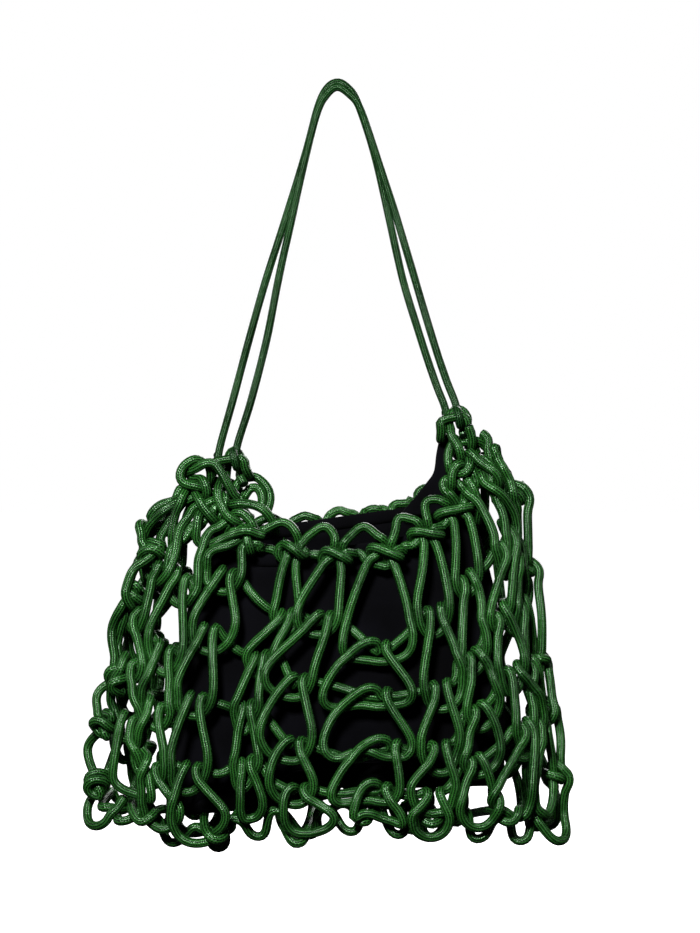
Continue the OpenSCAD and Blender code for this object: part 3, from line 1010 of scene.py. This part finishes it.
def kept_long(x, a, b, length, links, free):
    """Brings every stretch between neighbours back towards its own length."""
    for _ in range(LENGTH_ROUNDS):
        gap = x[b] - x[a]
        d = np.linalg.norm(gap, axis=1)
        fix = gap * ((d - length) / np.maximum(d, TINY) * 0.5)[:, None]
        move = np.zeros_like(x)
        np.add.at(move, a, fix)
        np.add.at(move, b, -fix)
        x = x + move / np.maximum(links, 1)[:, None] * LENGTH_PULL * free
    return x


def settle(paths, fixed, rounds):
    """Lets the cords push each other apart while they keep their length and stay smooth.

    paths is a list of (points, closed, held); fixed are points of other cords that don't move.
    """
    spans = np.cumsum([0] + [len(p) for p, _, _ in paths])
    x = np.vstack([p for p, _, _ in paths])
    start = x.copy()
    held = np.concatenate([np.full(len(p), h) for p, _, h in paths])
    free = ~held[:, None]
    owner = np.concatenate([np.full(len(p), k) for k, (p, _, _) in enumerate(paths)])
    number = np.concatenate([np.arange(len(p)) for p, _, _ in paths])
    a, b = chain_links(paths, spans)
    length = np.linalg.norm(x[a] - x[b], axis=1)
    links = np.bincount(np.concatenate([a, b]), minlength=len(x))
    for step in range(rounds):
        if step % SEARCH_EVERY == 0:
            pairs = close_pairs(x, fixed, owner, number)
        x = pushed_apart(x, fixed, pairs, free)
        x = smoothed(x, a, b, (links == 2) & ~held)
        x = kept_long(x, a, b, length, links, free)
        x = x + RETURN * (start - x) * free
    return [x[here:there] for here, there in zip(spans[:-1], spans[1:])]


names, loose = [], []
for name, group in cords.items():
    for points, closed in group:
        names.append(name)
        held = name.endswith("_corner_loop")
        loose.append((smooth_path(points, SETTLE_STEP, closed), closed, held))
handles = np.vstack([front_strand[::2], back_strand[::2]])
settled = settle(loose, handles, SETTLE_ROUNDS)

pieces = {}
for name, path, (_, closed, _) in zip(names, settled, loose):
    pieces.setdefault(name, []).append((smooth_path(path, DRAWN_STEP, closed), closed))
for name, paths in pieces.items():
    piece = make_cord_piece(name + "_cord", paths, NET_CORD, NET_CORD_R)
    place_piece(piece, name, "bag")


# ------------ pouch

POUCH_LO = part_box("pouch_front_panel")[0]
POUCH_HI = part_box("pouch_back_panel")[1]
POUCH_MID_X = (POUCH_LO.x + POUCH_HI.x) / 2
POUCH_HALF_W = (POUCH_HI.x - POUCH_LO.x) / 2
POUCH_HALF_D = POUCH_HI.y
POUCH_BASE_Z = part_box("pouch_base")[0].z
POUCH_RIM_Z = -337 * MM
POUCH_LEAN = 14 * MM
POUCH_SAG = 22 * MM
CLOTH = 1.2 * MM
MOUTH_SHARE = 0.80  # of the pouch's half width
WIDENS = 1.8  # the pouch has its full width from 1 / WIDENS of the way down
MOUTH_HALF_D = 20 * MM
BELLY = 150  # degrees of a sine that the depth follows from the mouth to the base
# Folds round the pouch: how many, how much they lean, and how deep they are in mm.
FOLDS = ((9, 3, 2.2), (17, -5, 1.6))
MOUTH_FOLDS = 0.3  # share of the folds' depth at the mouth
INSIDE = 1.5 * MM  # clear of the depth that the pouch may fill
LEFT_CORNER_DROP, RIGHT_CORNER_RISE, MIDDLE_RISE = 9 * MM, 14 * MM, 34 * MM


def pouch_point(a, v, rise=0.0):
    """A point of the pouch at angle a round it, share v of the way down, rise above the mouth."""
    s, c = math.sin(a), math.cos(a)
    sag = POUCH_SAG * (1 - abs(s) ** SAG) if c > 0 else 0
    rim_z = POUCH_RIM_Z + POUCH_LEAN * s - sag
    wider = math.sin(min(WIDENS * v, 1) * math.pi / 2)
    half_w = POUCH_HALF_W * (MOUTH_SHARE + (1 - MOUTH_SHARE) * wider)
    half_d = MOUTH_HALF_D + (POUCH_HALF_D - MOUTH_HALF_D) * math.sin(math.radians(BELLY * v))
    fold = sum(deep * math.sin(count * a + lean * v) for count, lean, deep in FOLDS)
    fold *= MM * (MOUTH_FOLDS + (1 - MOUTH_FOLDS) * v)
    corner = RIGHT_CORNER_RISE * max(0, s) - LEFT_CORNER_DROP * max(0, -s)
    low = POUCH_BASE_Z + (corner + MIDDLE_RISE * abs(c) ** 1.5) * v ** 3
    return Vector((POUCH_MID_X + (half_w + fold * 0.5) * s,
                   -(half_d + fold - INSIDE) * math.copysign(abs(c) ** ROUND, c),
                   rim_z + rise + v * (low - rim_z)))


CELL_UV = 0.02


def cloth_piece(node, rows, closed=False, thickness=CLOTH):
    """The pouch's piece for a node from a grid of points, with its thickness to both sides."""
    mesh = bmesh.new()
    uv = mesh.loops.layers.uv.verify()
    verts = [[mesh.verts.new(p) for p in row] for row in rows]
    for j in range(len(rows) - 1):
        n = len(rows[j])
        for i in range(n if closed else n - 1):
            k = (i + 1) % n
            face = mesh.faces.new((verts[j][i], verts[j][k], verts[j + 1][k], verts[j + 1][i]))
            face.smooth = True
            for loop, (x, y) in zip(face.loops, ((i, j), (i + 1, j), (i + 1, j + 1), (i, j + 1))):
                loop[uv].uv = (x * CELL_UV, y * CELL_UV)
    piece = finish_mesh(node + "_cloth", mesh, POUCH_CLOTH)
    solid = piece.modifiers.new("thickness", "SOLIDIFY")
    solid.thickness = thickness
    solid.offset = 0
    place_piece(piece, node, "bag")
    return piece


PANEL_ACROSS, PANEL_DOWN = 64, 34
BASE_AROUND, BASE_RINGS = 96, 10
BASE_CENTRE = 0.02  # share of the base's outline that is left open in its middle
BASE_LIFT = 8 * MM
MOUTH_AROUND = 120
# The binding's section: up from the mouth's edge and out of the cloth, in mm.
BINDING = ((0, 1.2), (3, 1.9), (7, 1.9), (9, 0.9), (9.4, 0), (9, -0.9), (7, -1.9), (3, -1.9), (0, -1.2))
BINDING_THICK = 0.5 * MM


def make_panel(node, a0, a1):
    """The pouch's wall from a0 to a1 degrees round it."""
    rows = [[pouch_point(math.radians(a0 + (a1 - a0) * i / PANEL_ACROSS), j / PANEL_DOWN)
             for i in range(PANEL_ACROSS + 1)] for j in range(PANEL_DOWN + 1)]
    piece = cloth_piece(node, rows)


def make_pouch_base():
    """The pouch's bottom, drawn in from its lower edge and lifted off the lowest point."""
    floor_z = POUCH_BASE_Z + BASE_LIFT
    edge = [pouch_point(2 * math.pi * i / BASE_AROUND, 1) for i in range(BASE_AROUND)]
    rows = []
    for j in range(BASE_RINGS + 1):
        share = 1 - j / BASE_RINGS * (1 - BASE_CENTRE)
        rows.append([Vector((POUCH_MID_X + (p.x - POUCH_MID_X) * share, p.y * share,
                             floor_z + (p.z - floor_z) * share ** 0.5)) for p in edge])
    piece = cloth_piece("pouch_base", rows, closed=True)


def make_binding():
    """The hem band folded over the pouch's mouth."""
    rows = []
    for rise, out in BINDING:
        row = []
        for i in range(MOUTH_AROUND):
            a = 2 * math.pi * i / MOUTH_AROUND
            p = pouch_point(a, 0, rise * MM)
            row.append(p + Vector((math.sin(a), -math.cos(a), 0)) * out * MM)
        rows.append(row)
    cloth_piece("pouch_mouth_binding", rows, closed=True, thickness=BINDING_THICK)


# Each tab is drawn up to its corner loop: left edge, right edge and height, in mm from the
# corner's middle, from the head down to the pouch's mouth.
LEFT_TAB = ((-8, -2, -12), (-9, 2, -24), (-9, 8, -36), (-12, 16, -48), (-16, 22, -58), (-15, 28, -68))
RIGHT_TAB = ((-9, -1, -12), (-12, -2, -27), (-14, -2, -41), (-20, 4, -50), (-28, 12, -60), (-40, 20, -74))
TAB_Y, TAB_THICK = 5 * MM, 5 * MM
TAB_HEAD, TAB_FOOT = 0.4, 0.7  # shares of that thickness
TAB_AROUND, TAB_STEP, TAB_CLOTH = 24, 2.5 * MM, 0.8 * MM
PLEATS, PLEAT_LEAN, PLEAT_DEEP = 5, 3, 0.7 * MM
# A stitch that holds a tab, as (x, z) in mm from its head.
TAB_STITCH = ((-3, 0), (-1, -3), (1, -1), (3, -5), (0, -7))
STITCH_Z, STITCH_Y = -35 * MM, 4.5 * MM
THREAD_R, THREAD_STEP = 0.5 * MM, 0.6 * MM


def make_tab(side, node):
    """A gathered corner of the pouch, pleated lengthwise."""
    corner = Vector(corner_middle(side))
    outline = np.array(LEFT_TAB if side < 0 else RIGHT_TAB) * MM
    edges = smooth_path(outline, TAB_STEP)
    rows = []
    for j, (left, right, z) in enumerate(edges):
        t = j / (len(edges) - 1)
        middle, half = (left + right) / 2, (right - left) / 2
        thick = TAB_THICK * (TAB_HEAD + (TAB_FOOT - TAB_HEAD) * t)
        row = []
        for i in range(TAB_AROUND):
            turn = 2 * math.pi * i / TAB_AROUND
            pleat = PLEAT_DEEP * math.sin(PLEATS * turn + PLEAT_LEAN * t)
            y = TAB_Y + (thick + pleat) * math.sin(turn)
            row.append(corner + Vector((middle + half * math.cos(turn), y, z)))
        rows.append(row)
    cloth_piece(node, rows, closed=True, thickness=TAB_CLOTH)


def make_stitches():
    """A stitch on the front and back of each tab."""
    lines = []
    for side in (-1, 1):
        head = corner_middle(side) + np.array([0, 0, STITCH_Z])
        for s in (-1, 1):
            points = [head + np.array([x * MM, s * STITCH_Y, z * MM]) for x, z in TAB_STITCH]
            lines.append((smooth_path(points, THREAD_STEP), False))
    piece = make_cord_piece("tab_stitches_thread", lines, THREAD, radius=THREAD_R)
    place_piece(piece, "tab_stitches", "bag")


make_panel("pouch_front_panel", -90, 90)
make_panel("pouch_back_panel", 90, 270)
make_pouch_base()
make_binding()
make_tab(-1, "left_pouch_tab")
make_tab(1, "right_pouch_tab")
make_stitches()
